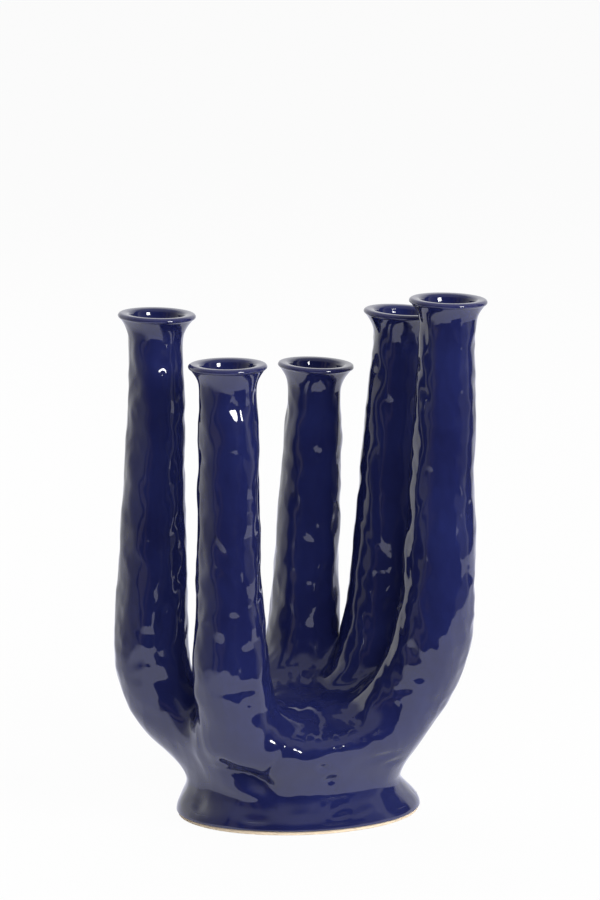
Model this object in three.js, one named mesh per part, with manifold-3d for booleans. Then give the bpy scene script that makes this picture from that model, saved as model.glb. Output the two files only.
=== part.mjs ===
// Hand-built ceramic vase with five hollow arms, in millimetres, +Z up.
// A hollow hand-shaped body stands on a flared oval foot. Five tapering arms rise from it,
// each with a turned-out collar, and all five mouths open into one chamber.
// The pieces are the ones that the potter makes and lutes together with slip.

import * as THREE from 'three';
import { mergeVertices } from 'three/addons/utils/BufferGeometryUtils.js';
import Module from 'manifold-3d';

const wasm = await Module();
wasm.setup();

// Clay and joints.
const wall = 5;
const slip = 0.3;
const palmBlend = 17;
const cleftBlend = 7;

// Foot: two ovals, one on the table and one at the waist, each [half length, half depth].
const footOval = { across: 82.5, deep: 65.5, x: -1, y: 0, turn: 14 };
const waistOval = { across: 71.5, deep: 56, x: -4, y: 0, turn: 8 };
const waistHeight = 25;
const bareEdge = 2.4;
const toeRound = 2.4;
const slabInset = 1.2;
const slabTop = 8;
const slabEase = 0.8;
const recessDepth = 1.5;
const standWidth = 11;

// Palm: the closed top of the body between the arms. It rises towards the back.
const shoulderHeight = 50;
const shoulderSwell = 1.12;
const palmHeight = 80;
const palmSlope = 0.33;
const palmRound = 22;

// Arms. root: start of the centre line inside the body. socket: where the pulled tube is luted on.
// drop: how far the bend reaches below the socket. mouth: centre of the lip's top.
// Radii are of the outside: at the root, at the socket and at the neck below the collar.
const arms = [
  { name: 'left', root: [-35, 0, 49], socket: [-100, 5, 118], drop: 59, mouth: [-94, 5, 336],
    radii: { root: 27, socket: 24.2, neck: 18.3 } },
  { name: 'front', root: [-12, -12, 45], socket: [-45.8, -46, 115], drop: 58, mouth: [-46.8, -46, 311],
    radii: { root: 31, socket: 23.9, neck: 18.8 } },
  { name: 'middle', root: [0, 12, 50], socket: [3.2, 58, 125], drop: 58, mouth: [10.8, 58, 293.6],
    radii: { root: 27, socket: 22.6, neck: 18.5 } },
  { name: 'back', root: [16, 8, 50], socket: [57.5, 40, 150], drop: 80, mouth: [68.1, 40, 332.4],
    radii: { root: 27, socket: 23, neck: 18.8 } },
  { name: 'right', root: [30, -4, 45], socket: [91.8, -15, 168.5], drop: 92, mouth: [96.8, -15, 349],
    radii: { root: 27.5, socket: 23, neck: 18.9 } },
];

// Collar: turned lip, measured down from the mouth and out from the centre line.
const collarHeight = 24;
const lipRadius = 25.8;
const lipRound = 2.1;
const throatPinch = 0.9;
const flareDepth = 9;
const mouthRadius = 17.6;
const funnelDepth = 13;

// Unevenness left by the fingers along each arm.
const fingerDepth = 0.5;
const fingerPitch = 34;
const fingerLobes = 3;
const driftDepth = 0.3;
const driftPitch = 54;
const driftLobes = 2;
const fingerFade = 16;

// Fineness of the facets.
const bodyCell = 8.5;
const chamberCell = 10.5;
const armSides = 18;
const armRings = 11;
const boreRings = 5;
const collarSides = 20;
const ovalSides = 36;

const cobalt = { color: 0x141a52, roughness: 0.08, metalness: 0 };
const bareClay = { color: 0xe3c29c, roughness: 0.85, metalness: 0 };

// Small helpers.
const smoothstep = THREE.MathUtils.smoothstep;
const lerp = THREE.MathUtils.lerp;
const vector = (point) => new THREE.Vector3(...point);

function smoothMin(a, b, width) {
  const share = Math.max(width - Math.abs(a - b), 0) / width;
  return Math.min(a, b) - share * share * width / 4;
}

function smoothMax(a, b, width) {
  return -smoothMin(-a, -b, width);
}

// Distance-like value of a point against an oval outline: 0 on it, negative inside.
function ovalGap(oval, scale, x, y) {
  const turn = THREE.MathUtils.degToRad(oval.turn);
  const dx = x - oval.x;
  const dy = y - oval.y;
  const along = dx * Math.cos(turn) + dy * Math.sin(turn);
  const over = dy * Math.cos(turn) - dx * Math.sin(turn);
  const u = along / oval.across;
  const v = over / oval.deep;
  const slope = 2 * Math.hypot(u / oval.across, v / oval.deep);
  return (u * u + v * v - scale * scale) / Math.max(slope, 1 / oval.across);
}

// Point on an oval, drawn inwards by an inset, at an angle given in radians.
function ovalPoint(oval, inset, angle) {
  const turn = THREE.MathUtils.degToRad(oval.turn);
  const along = (oval.across - inset) * Math.cos(angle - turn);
  const over = (oval.deep - inset) * Math.sin(angle - turn);
  return [
    oval.x + along * Math.cos(turn) - over * Math.sin(turn),
    oval.y + along * Math.sin(turn) + over * Math.cos(turn),
  ];
}

function between(from, to, share) {
  const mixed = {};
  for (const key of Object.keys(from)) mixed[key] = lerp(from[key], to[key], share);
  return mixed;
}

// Closed geometry with shared corners.
function closed(geometry) {
  geometry.deleteAttribute('normal');
  geometry.deleteAttribute('uv');
  const merged = mergeVertices(geometry, 1e-3);
  merged.computeVertexNormals();
  return merged;
}

function solidOf(geometry) {
  const merged = closed(geometry);
  return new wasm.Manifold(new wasm.Mesh({
    numProp: 3,
    vertProperties: Float32Array.from(merged.attributes.position.array),
    triVerts: Uint32Array.from(merged.index.array),
  }));
}

function geometryOf(solid) {
  const { vertProperties, triVerts } = solid.getMesh();
  const geometry = new THREE.BufferGeometry();
  geometry.setAttribute('position', new THREE.BufferAttribute(Float32Array.from(vertProperties), 3));
  geometry.setIndex(new THREE.BufferAttribute(Uint32Array.from(triVerts), 1));
  geometry.computeVertexNormals();
  return geometry;
}

function piece(name, geometry, finish) {
  const mesh = new THREE.Mesh(geometry, new THREE.MeshStandardMaterial(finish));
  mesh.name = name;
  return mesh;
}

// Centre line of an arm: a bend out of the body, then straight up to the mouth.
function armLine(arm) {
  const root = vector(arm.root);
  const socket = vector(arm.socket);
  const mouth = vector(arm.mouth);
  const rise = mouth.clone().sub(socket).normalize();
  const corner = socket.clone().addScaledVector(rise, -arm.drop);
  const bend = new THREE.QuadraticBezierCurve3(root, corner, socket);
  return { bend, socket, mouth, rise, length: mouth.distanceTo(socket) };
}

// Outside radius along the bend, by the share of the way from root to socket.
function bendRadius(arm, share) {
  return lerp(arm.radii.root, arm.radii.socket, share ** 1.5);
}

// Outside radius along the tube, by the height above the socket.
function tubeRadius(arm, height) {
  const reach = armLine(arm).length - collarHeight;
  const share = THREE.MathUtils.clamp(1 - height / reach, 0, 1);
  return lerp(arm.radii.neck, arm.radii.socket, share ** 0.8);
}

// The bends as lists of stations, each with its place and radius. They run on past the socket,
// where they end flat, to be trimmed there.
const bendSteps = 18;
const overrun = 10;
const trimMargin = 2.5;

function bendOf(arm) {
  const { bend, socket, rise } = armLine(arm);
  const stations = [];
  for (let step = 0; step <= bendSteps; step += 1) {
    const share = step / bendSteps;
    stations.push({ at: bend.getPoint(share), radius: bendRadius(arm, share) });
  }
  const past = socket.clone().addScaledVector(rise, overrun * 2);
  stations.push({ at: past, radius: arm.radii.socket });
  return { stations, rise, end: rise.dot(socket) + overrun };
}

const bends = arms.map(bendOf);

function bendGap({ stations, rise, end }, x, y, z) {
  let least = Infinity;
  for (let index = 1; index < stations.length; index += 1) {
    const from = stations[index - 1];
    const to = stations[index];
    const ax = to.at.x - from.at.x;
    const ay = to.at.y - from.at.y;
    const az = to.at.z - from.at.z;
    const bx = x - from.at.x;
    const by = y - from.at.y;
    const bz = z - from.at.z;
    const raw = (ax * bx + ay * by + az * bz) / (ax * ax + ay * ay + az * az);
    const share = Math.min(Math.max(raw, 0), 1);
    const away = Math.hypot(bx - ax * share, by - ay * share, bz - az * share);
    least = Math.min(least, away - lerp(from.radius, to.radius, share));
  }
  return Math.max(least, rise.x * x + rise.y * y + rise.z * z - end);
}

// Pod: the oval wall above the waist, closed by the sloping palm.
function podGap(x, y, z) {
  const swell = lerp(1, shoulderSwell, smoothstep(z, waistHeight, shoulderHeight));
  const side = ovalGap(waistOval, swell, x, y);
  const top = (z - palmHeight - palmSlope * y) / Math.hypot(1, palmSlope);
  return smoothMax(side, top, palmRound);
}

// The whole body as one field: pod and bends melted into each other.
function bodyGap(x, y, z) {
  let nearest = Infinity;
  for (const bend of bends) {
    const gap = bendGap(bend, x, y, z);
    nearest = nearest === Infinity ? gap : smoothMin(nearest, gap, cleftBlend);
  }
  return smoothMin(podGap(x, y, z), nearest, palmBlend);
}

// Closed skin where a field is zero: one point in each grid cell that the surface crosses,
// drawn onto the surface along the field's slope, and one four-sided face over each crossed edge.
function skinOf(field, low, high, cell) {
  const count = [0, 1, 2].map((axis) => Math.ceil((high[axis] - low[axis]) / cell) + 1);
  const stride = [1, count[0], count[0] * count[1]];
  const values = new Float64Array(count[0] * count[1] * count[2]);
  const place = (node) => [
    low[0] + cell * (node % count[0]),
    low[1] + cell * (Math.floor(node / stride[1]) % count[1]),
    low[2] + cell * Math.floor(node / stride[2]),
  ];
  for (let node = 0; node < values.length; node += 1) values[node] = field(...place(node));
  clearPinches(values, stride);

  const corners = [];
  for (let bits = 0; bits < 8; bits += 1) {
    corners.push((bits & 1) * stride[0] + ((bits >> 1) & 1) * stride[1] + ((bits >> 2) & 1) * stride[2]);
  }
  const positions = [];
  const pointOfCell = new Int32Array(values.length).fill(-1);
  const inRange = (node) => place(node).every((value, axis) => value < high[axis] - cell / 2);
  for (let node = 0; node < values.length; node += 1) {
    if (!inRange(node)) continue;
    const point = crossingMiddle(node, corners, values, place);
    if (!point) continue;
    pointOfCell[node] = positions.length / 3;
    positions.push(...settle(field, point, cell));
  }

  const faces = [];
  for (let node = 0; node < values.length; node += 1) {
    for (let axis = 0; axis < 3; axis += 1) {
      const next = node + stride[axis];
      if (next >= values.length || (values[node] < 0) === (values[next] < 0)) continue;
      const one = stride[(axis + 1) % 3];
      const two = stride[(axis + 2) % 3];
      const ring = [node, node - one, node - one - two, node - two].map((cellNode) => pointOfCell[cellNode]);
      if (values[node] > 0) ring.reverse();
      faces.push(ring[0], ring[1], ring[2], ring[0], ring[2], ring[3]);
    }
  }
  return new wasm.Manifold(new wasm.Mesh({
    numProp: 3,
    vertProperties: Float32Array.from(positions),
    triVerts: Uint32Array.from(faces),
  }));
}

// A grid square whose diagonals lie on opposite sides would pinch two sheets together, as in the
// narrow cleft between two arms. The corner nearest to the surface changes sides until none is left.
function clearPinches(values, stride) {
  const pairs = [[stride[0], stride[1]], [stride[1], stride[2]], [stride[2], stride[0]]];
  let pinched = true;
  for (let round = 0; pinched && round < 20; round += 1) {
    pinched = false;
    for (let node = 0; node < values.length - stride[1] - stride[2]; node += 1) {
      for (const [one, two] of pairs) {
        const square = [node, node + one, node + one + two, node + two];
        const inside = square.map((corner) => values[corner] < 0);
        if (inside[0] !== inside[2] || inside[1] !== inside[3] || inside[0] === inside[1]) continue;
        square.sort((first, second) => Math.abs(values[first]) - Math.abs(values[second]));
        values[square[0]] = values[square[0]] < 0 ? 0.1 : -0.1;
        pinched = true;
      }
    }
  }
}

// Middle of the points where the surface crosses a cell's twelve edges.
function crossingMiddle(node, corners, values, place) {
  const sum = [0, 0, 0];
  let crossed = 0;
  for (let first = 0; first < 8; first += 1) {
    for (const bit of [1, 2, 4]) {
      const second = first | bit;
      if (second === first) continue;
      const a = values[node + corners[first]];
      const b = values[node + corners[second]];
      if ((a < 0) === (b < 0)) continue;
      const from = place(node + corners[first]);
      const to = place(node + corners[second]);
      for (let axis = 0; axis < 3; axis += 1) sum[axis] += lerp(from[axis], to[axis], a / (a - b));
      crossed += 1;
    }
  }
  return crossed ? sum.map((value) => value / crossed) : null;
}

// Moves a point down the field's slope until it lies on the surface.
function settle(field, point, cell) {
  const [x, y, z] = point;
  const step = 0.05;
  const settled = [x, y, z];
  for (let round = 0; round < 4; round += 1) {
    const [px, py, pz] = settled;
    const value = field(px, py, pz);
    const slope = [
      field(px + step, py, pz) - field(px - step, py, pz),
      field(px, py + step, pz) - field(px, py - step, pz),
      field(px, py, pz + step) - field(px, py, pz - step),
    ].map((difference) => difference / (2 * step));
    const steepness = Math.max(slope[0] ** 2 + slope[1] ** 2 + slope[2] ** 2, 0.1);
    const limit = cell * 0.3;
    for (let axis = 0; axis < 3; axis += 1) {
      const move = THREE.MathUtils.clamp(value * slope[axis] / steepness, -limit, limit);
      settled[axis] -= move;
    }
  }
  return settled;
}

// Round cutter standing on a socket's plane, turned to the arm's own rise.
function socketCutter(arm) {
  const line = armLine(arm);
  const radius = arm.radii.socket + trimMargin;
  const height = overrun * 2;
  const cutter = new THREE.CylinderGeometry(radius, radius, height, 24);
  cutter.translate(0, height / 2, 0);
  const upright = new THREE.Vector3(0, 1, 0);
  cutter.applyQuaternion(new THREE.Quaternion().setFromUnitVectors(upright, line.rise));
  cutter.translate(...line.socket.toArray());
  return solidOf(cutter);
}

// Body: the melted skin less the same skin drawn in by the wall, trimmed at the sockets and waist.
function makeBody() {
  const extent = new THREE.Box3().setFromPoints(arms.map((arm) => vector(arm.socket)));
  extent.expandByScalar(Math.max(...arms.map((arm) => arm.radii.root)) + overrun * 2);
  extent.expandByPoint(new THREE.Vector3(0, waistOval.deep * shoulderSwell + overrun * 2, waistHeight));
  extent.expandByPoint(new THREE.Vector3(0, -waistOval.deep * shoulderSwell - overrun * 2, waistHeight));
  extent.min.z = waistHeight - overrun * 2;
  const low = extent.min.toArray();
  const high = extent.max.toArray();
  const floor = waistHeight - overrun;
  const outside = skinOf((x, y, z) => Math.max(bodyGap(x, y, z), floor - z), low, high, bodyCell);
  const cavity = skinOf((x, y, z) => Math.max(bodyGap(x, y, z) + wall, floor - z), low, high, chamberCell);

  const size = extent.getSize(new THREE.Vector3());
  const underWaist = new THREE.BoxGeometry(size.x, size.y, overrun * 2);
  underWaist.translate((low[0] + high[0]) / 2, (low[1] + high[1]) / 2, waistHeight - overrun);
  let trimmed = outside.subtract(cavity).subtract(solidOf(underWaist));
  for (const arm of arms) trimmed = trimmed.subtract(socketCutter(arm));
  return geometryOf(trimmed);
}

// Wavy offset of an arm's skin, still at both ends so that the joints stay round.
function fingerMarks(order, angle, height, reach) {
  const fade = smoothstep(height, 0, fingerFade) * smoothstep(reach - height, 0, fingerFade);
  const wave = Math.sin(2 * Math.PI * height / fingerPitch + fingerLobes * angle + 2 * order);
  const drift = Math.sin(2 * Math.PI * height / driftPitch - driftLobes * angle + 3 * order);
  return fade * (fingerDepth * wave + driftDepth * drift);
}

// Turns a closed profile [radius, height] about the arm's line, starting at a point of it.
function turnedAlong(profile, sides, from, rise, offset = () => 0) {
  const points = [...profile, profile[0]].map(([radius, height]) => new THREE.Vector2(radius, height));
  const lathe = new THREE.LatheGeometry(points, sides);
  lathe.rotateX(Math.PI / 2);
  const spots = lathe.attributes.position;
  for (let index = 0; index < spots.count; index += 1) {
    const x = spots.getX(index);
    const y = spots.getY(index);
    const radius = Math.hypot(x, y);
    const grown = (radius + offset(Math.atan2(y, x), spots.getZ(index), radius)) / radius;
    spots.setXY(index, x * grown, y * grown);
  }
  const upright = new THREE.Vector3(0, 0, 1);
  lathe.applyQuaternion(new THREE.Quaternion().setFromUnitVectors(upright, rise));
  lathe.translate(...from.toArray());
  return closed(lathe);
}

function makeArm(arm, order) {
  const line = armLine(arm);
  const reach = line.length - collarHeight;
  const profile = [];
  for (let ring = 0; ring <= boreRings; ring += 1) {
    const height = lerp(reach, slip, ring / boreRings);
    profile.push([tubeRadius(arm, height) - wall, height]);
  }
  for (let ring = 0; ring <= armRings; ring += 1) {
    const height = lerp(slip, reach, ring / armRings);
    profile.push([tubeRadius(arm, height), height]);
  }
  const marks = (angle, height, radius) => {
    const outer = radius > tubeRadius(arm, height) - wall / 2;
    return outer ? fingerMarks(order, angle, height, reach) : 0;
  };
  return turnedAlong(profile, armSides, line.socket, line.rise, marks);
}

// Collar: neck, hollow flare, rolled lip and the funnel down into the bore.
function makeCollar(arm) {
  const line = armLine(arm);
  const neck = arm.radii.neck;
  const bore = neck - wall;
  const rollFrom = THREE.MathUtils.degToRad(-65);
  const roll = new THREE.EllipseCurve(
    lipRadius - lipRound, -lipRound, lipRound, lipRound, rollFrom, Math.PI / 2);
  const flare = new THREE.CubicBezierCurve(
    new THREE.Vector2(neck, slip - collarHeight),
    new THREE.Vector2(neck - throatPinch, -collarHeight / 2),
    new THREE.Vector2(neck, -flareDepth),
    roll.getPoint(0),
  );
  const funnel = new THREE.CubicBezierCurve(
    roll.getPoint(1),
    new THREE.Vector2(mouthRadius, 0),
    new THREE.Vector2(bore, -funnelDepth / 3),
    new THREE.Vector2(bore, -funnelDepth),
  );
  const outline = [...flare.getPoints(6), ...roll.getPoints(3).slice(1), ...funnel.getPoints(6).slice(1)];
  const profile = outline.map((point) => [point.x, point.y]);
  profile.push([bore, slip - collarHeight]);
  return turnedAlong(profile, collarSides, line.mouth, line.rise);
}

// Ring of oval sections: each profile point gives its oval, inset and height.
function ovalTurned(profile) {
  const ring = [...profile, profile[0]];
  const lathe = new THREE.LatheGeometry(ring.map((_, index) => new THREE.Vector2(1, index)), ovalSides);
  lathe.rotateX(Math.PI / 2);
  const spots = lathe.attributes.position;
  for (let index = 0; index < spots.count; index += 1) {
    const section = ring[Math.round(spots.getZ(index))];
    const angle = Math.atan2(spots.getY(index), spots.getX(index));
    const [x, y] = ovalPoint(section.oval, section.inset, angle);
    spots.setXYZ(index, x, y, section.height);
  }
  return closed(lathe);
}

// Foot: flared skirt from the waist down to the glaze line, hollow inside.
function skirtOval(height) {
  const share = smoothstep(height, bareEdge, waistHeight);
  return between(footOval, waistOval, share ** 1.15);
}

function makeFoot() {
  const bottom = bareEdge + slip;
  const top = waistHeight - slip;
  const profile = [{ oval: footOval, inset: toeRound / 2, height: bottom }];
  const rings = 6;
  for (let ring = 0; ring <= rings; ring += 1) {
    const height = lerp(bottom + toeRound / 2, top, ring / rings);
    profile.push({ oval: skirtOval(height), inset: 0, height });
  }
  for (const height of [top, (top + slabTop) / 2, slabTop + slip, bottom]) {
    profile.push({ oval: skirtOval(Math.max(height, slabTop)), inset: wall, height });
  }
  return ovalTurned(profile);
}

// Base slab: plate luted into the skirt, with the bare clay edge that the glaze stops above.
function makeBaseSlab() {
  const plugOval = skirtOval(slabTop);
  const plugInset = wall + slip;
  const centre = { oval: { ...footOval, across: 0, deep: 0 }, inset: 0 };
  const profile = [
    { ...centre, height: recessDepth },
    { oval: footOval, inset: slabInset + standWidth + recessDepth, height: recessDepth },
    { oval: footOval, inset: slabInset + standWidth, height: 0 },
    { oval: footOval, inset: slabInset + slabEase, height: 0 },
    { oval: footOval, inset: slabInset, height: slabEase },
    { oval: footOval, inset: slabInset, height: bareEdge },
    { oval: plugOval, inset: plugInset, height: bareEdge },
    { oval: plugOval, inset: plugInset, height: slabTop },
    { ...centre, height: slabTop },
  ];
  return geometryOf(solidOf(ovalTurned(profile)));
}

// The vase, moved so that its origin lies under the middle of its box, on the table.
const vase = new THREE.Group();
vase.add(piece('base_slab', makeBaseSlab(), bareClay));
vase.add(piece('foot', makeFoot(), cobalt));
vase.add(piece('body', makeBody(), cobalt));
arms.forEach((arm, order) => {
  vase.add(piece(`arm_${arm.name}`, makeArm(arm, order), cobalt));
  vase.add(piece(`collar_${arm.name}`, makeCollar(arm), cobalt));
});
const extent = new THREE.Box3().setFromObject(vase, true);
const middle = extent.getCenter(new THREE.Vector3());
vase.position.set(-middle.x, -middle.y, -extent.min.z);

export default vase;
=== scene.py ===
import math

import bpy
import numpy as np
from bpy.props import FloatProperty, FloatVectorProperty, IntProperty, PointerProperty
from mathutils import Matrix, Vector


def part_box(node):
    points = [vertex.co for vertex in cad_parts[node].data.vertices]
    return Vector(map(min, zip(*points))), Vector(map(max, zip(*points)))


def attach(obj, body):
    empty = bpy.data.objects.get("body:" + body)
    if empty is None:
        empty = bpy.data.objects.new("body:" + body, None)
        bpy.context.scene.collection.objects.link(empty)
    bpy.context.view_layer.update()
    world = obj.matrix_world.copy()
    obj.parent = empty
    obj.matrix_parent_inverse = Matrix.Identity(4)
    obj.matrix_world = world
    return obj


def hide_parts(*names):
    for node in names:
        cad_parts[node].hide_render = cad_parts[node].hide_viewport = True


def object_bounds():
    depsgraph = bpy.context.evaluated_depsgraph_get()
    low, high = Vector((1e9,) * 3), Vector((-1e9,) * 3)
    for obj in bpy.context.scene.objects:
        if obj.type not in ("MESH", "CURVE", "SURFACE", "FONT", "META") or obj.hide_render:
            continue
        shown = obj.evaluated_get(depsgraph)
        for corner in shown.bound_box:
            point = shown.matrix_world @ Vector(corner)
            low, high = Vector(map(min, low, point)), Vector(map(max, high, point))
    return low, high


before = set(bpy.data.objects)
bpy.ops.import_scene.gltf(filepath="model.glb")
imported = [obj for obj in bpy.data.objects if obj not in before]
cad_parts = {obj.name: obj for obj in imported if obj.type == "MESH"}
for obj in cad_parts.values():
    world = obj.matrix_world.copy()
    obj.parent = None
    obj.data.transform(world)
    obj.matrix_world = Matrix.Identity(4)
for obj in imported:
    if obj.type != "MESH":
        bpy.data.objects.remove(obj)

bl_info = {
    "name": "Five-armed ceramic vase",
    "version": (1, 0, 0),
    "blender": (4, 5, 0),
    "location": "3D View > Sidebar > Vase",
    "description": "Builds a hand-formed glazed vase with five hollow arms, and its studio",
    "category": "Object",
}

MM = 0.001
UP = np.array([0.0, 0.0, 1.0])
CAD_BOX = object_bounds()

# Sizes of the clay in millimetres, counted from the middle of the foot.
FOOT_OVAL = dict(across=82.5, deep=65.5, x=-1.0, y=0.0, turn=14.0)
WAIST_OVAL = dict(across=71.5, deep=56.0, x=-4.0, y=0.0, turn=8.0)
SKIRT_POWER = 1.15
WAIST = 25.0
SHOULDER = 58.0
SHOULDER_SWELL = 1.12
PALM = 78.0
PALM_SLOPE = 0.33
PALM_ROUND = 12.5
PALM_BLEND = 17.0
CLEFT_BLEND = 7.0
LEAST_BLEND = 0.01
BEND_STEPS = 8
BEND_POWER = 1.5
BEND_FADE = 16
LEAST_TURN = 600
COLLAR_HEIGHT = 24.0
# How much stouter the arms are than their plain lines, and the right arm at its bend.
ARM_SWELL = 1.5
BEND_SWELL = 1.9
# The body's net: its corners, how much coarser the inside is, how far a socket's cut reaches to the side and
# down, and the depth from which a thumb mark pushes the inside in.
NET_LOW = np.array([-140.0, -88.0, WAIST - 6])
NET_HIGH = np.array([130.0, 98.0, 176.0])
INSIDE_COARSER = 1.6
SOCKET_MARGIN = 4
SOCKET_DEPTH = 12
PRESS_START = 0.6
# Foot and slab.
FOOT_SIDES = 240
LEDGE = 2.0
SLAB_INSET = 1.2
STAND_WIDTH = 11.0
RECESS = 1.5
JOINT = 0.3
# Collars: how much wider than high the rolled lip is, and where its roll starts and ends in degrees.
LIP_WIDENING = 1.25
LIP_TURN = (-62, 90)
# Noise: numbers that scatter the corners of the grid.
NOISE_STEPS = np.array([73856093, 19349663, 83492791])
NOISE_SEED = 2654435761
NOISE_MIX = 1274126177
# Step for slopes, and how the net is worked out.
EPS = 0.05
ROUGH = 6
FAR = 1e3
BATCH = 200000

# Places and sizes of the studio in metres.
LAMP_TARGET = Vector((0, 0, 0.2))
CARD_DISTANCE = 0.33
CARD_OUTLINE = ((-0.12, 0.07), (0.12, 0.07), (0.12, 0.19), (0.085, 0.19), (0.075, 0.29), (-0.03, 0.29),
                (-0.045, 0.188), (-0.12, 0.17))
TABLE_RADIUS = 6
TABLE_SIDES = 96
PAPER_LEFT = (-0.62, -0.30)
PAPER_LIGHT = (0.97, 0.98, 1.12, 1)
CEILING_LIGHT = (0.38, 0.38, 0.41, 1)
CEILING_EDGE = (0.5, 0.8)
# How much of the paper is plain white to the eye; the rest takes the shadows.
PAPER_WHITE = 0.96
# Brightness of the studio in the gloss by bearing, in degrees from the front, right positive.
ROOM_BEARINGS = (
    (-180, (1, 1, 1)), (-114, (1, 1, 1)), (-99, (0.66, 0.65, 0.64)), (-82, (0.36, 0.35, 0.34)),
    (-64, (0.25, 0.24, 0.23)), (-57, (0.22, 0.21, 0.2)), (-56, (0.03, 0.025, 0.025)), (-51, (0.02, 0.02, 0.02)),
    (-50, (0.26, 0.23, 0.21)), (-40, (0.2, 0.17, 0.15)), (-39, (0.01, 0.01, 0.01)), (-33, (0.01, 0.01, 0.01)),
    (-32, (0.13, 0.1, 0.09)), (-25, (0.08, 0.06, 0.06)), (-24, (0.01, 0.01, 0.012)),
    (24, (0.01, 0.01, 0.012)), (30, (0.1, 0.1, 0.11)), (36, (0.02, 0.02, 0.025)), (52, (0.05, 0.05, 0.055)),
    (58, (0.16, 0.16, 0.17)), (74, (0.18, 0.18, 0.2)), (82, (0.26, 0.26, 0.28)), (88, (0.52, 0.52, 0.54)),
    (94, (0.45, 0.45, 0.47)), (98, (0.05, 0.05, 0.06)), (122, (0.05, 0.05, 0.06)), (128, (0.9, 0.9, 0.9)),
    (180, (1, 1, 1)),
)
# Single thumb marks: place on the outside, half width, half height, lean in degrees, depth.
THUMB_MARKS = (
    (-36, -58, 35.6, 14, 6.3, -13, 5.0), (-26, -57, 30.5, 9, 5, -18, 3.0), (-49, -59, 43.5, 8, 4.5, -30, 2.4),
    (-34, -55, 25.2, 15, 5.5, -14, -2.4), (-38, -58, 35.6, 13, 2.1, -14, 2.0), (-17, -63, 46, 11, 2.6, 62, 1.5),
    (-22, -60, 36, 6, 3, 70, 1.3), (15.7, -58.5, 43.5, 3.2, 2.3, 8, 1.2), (21, -54.3, 33.8, 4.4, 3, 10, 1.8),
    (5, -60, 44, 6, 6, 0, -0.7), (55.4, -39.7, 46.5, 9, 2.8, 6, 1.5), (62, -36, 41, 5, 2.2, 10, 1.1),
    (-39.7, -70.2, 98, 10, 4, 6, 1.2), (-33, -69, 90, 5, 3, -20, 0.6), (79, -38.5, 101, 8, 4, 14, 1.1),
    (69, -40, 92, 6, 3.2, 20, 0.9), (72, -38, 119, 4, 4, 0, 0.8), (-68, -38, 14.5, 6, 5, 20, 2.0),
    (-29.5, -63, 9.5, 8, 2.6, 0, 0.9), (28, -56, 11, 5, 2, 6, 0.7), (42, -50, 12, 6, 2.2, 12, 0.9),
    (2, -64, 13, 9, 3, 0, 0.5), (12, 8, 84, 22, 7, 0, 3.2), (36, -16, 78, 8, 6, 40, 1.4),
    (-95, -18, 92, 9, 7, 20, 1.2), (-102, -14, 70, 8, 5, -30, 1.0), (96, -30, 150, 6, 9, 10, 1.0),
    (104, -26, 128, 7, 5, 25, 0.9), (88, -34, 82, 7, 5, -20, 0.9), (-40.5, -64, 285, 6, 5.5, 0, 1.6),
    (-89, -14, 303, 5, 5, 0, 1.7), (-90, -17, 134, 5, 15, -8, 2.6), (61, 16.5, 134, 5, 12, 0, 2.0),
    (72, 22, 310.5, 4.5, 4, 0, 1.3), (-16, -53, 80, 5, 9, 10, 1.3), (-26, -63, 72, 8, 9, 0, -1.6),
    (-15, -61, 62, 6, 6, 0, -1.3), (-4, -59, 61, 5, 6, 0, -1.3), (9, -57, 60, 5, 5, 0, -1.1),
    (21, -54, 58, 6, 5, 10, -1.2), (33, -50, 62, 6, 6, 15, -1.2), (46, -45, 66, 6, 7, 20, -1.3),
)
THUMB_REACH = 25


class Arm:
    """An arm's line and outside radii. The bend starts at the root inside the body and ends at the socket;
    drop is how far its corner lies below the socket."""

    def __init__(self, root, socket, drop, mouth, radii):
        self.root, self.socket, self.mouth = (np.array(place, float) for place in (root, socket, mouth))
        self.length = float(np.linalg.norm(self.mouth - self.socket))
        self.rise = (self.mouth - self.socket) / self.length
        self.corner = self.socket - self.rise * drop
        self.first, self.wide, self.neck = radii
        # How fast the bend's radius changes where it reaches the socket.
        self.taper = BEND_POWER * (self.wide - self.first) / (2 * drop)


ARMS = {
    "left": Arm((-35, 0, 49), (-100, 5, 118), 59, (-94, 5, 336), (27, 24.2, 18.3)),
    "front": Arm((-12, -12, 45), (-45.8, -46, 115), 58, (-46.8, -46, 311), (31, 23.9, 18.8)),
    "middle": Arm((0, 12, 50), (3.2, 58, 125), 58, (10.8, 58, 293.6), (27, 22.6, 18.5)),
    "back": Arm((16, 8, 50), (57.5, 40, 150), 80, (68.1, 40, 332.4), (27, 23, 18.8)),
    "right": Arm((30, -4, 45), (91.8, -15, 168.5), 92, (96.8, -15, 349), (27.5, 23, 18.9)),
}


def middle_of_foot():
    """Where the middle of the foot lies in the frame, in millimetres, read from a collar's place."""
    low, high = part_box("collar_left")
    middle = (np.array(low) + np.array(high)) / 2 / MM
    return np.append(middle[:2] - ARMS["left"].mouth[:2], 0.0)


FOOT_MIDDLE = middle_of_foot()


# Shapes as fields: 0 on the outside of the clay, negative inside, in millimetres from the foot's middle.
def ease(value, low, high):
    share = np.clip((value - low) / (high - low), 0, 1)
    return share * share * (3 - 2 * share)


def melt(a, b, width):
    share = np.maximum(width - np.abs(a - b), 0) / width
    return np.minimum(a, b) - share * share * width / 4


def unit(v):
    return v / np.maximum(np.linalg.norm(v, axis=1, keepdims=True), 1e-12)


def about_axis(p, base, rise):
    """Height of points along an axis, and their distance from it."""
    away = p - base
    height = away @ rise
    return height, np.linalg.norm(away - height[:, None] * rise, axis=1)


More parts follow.
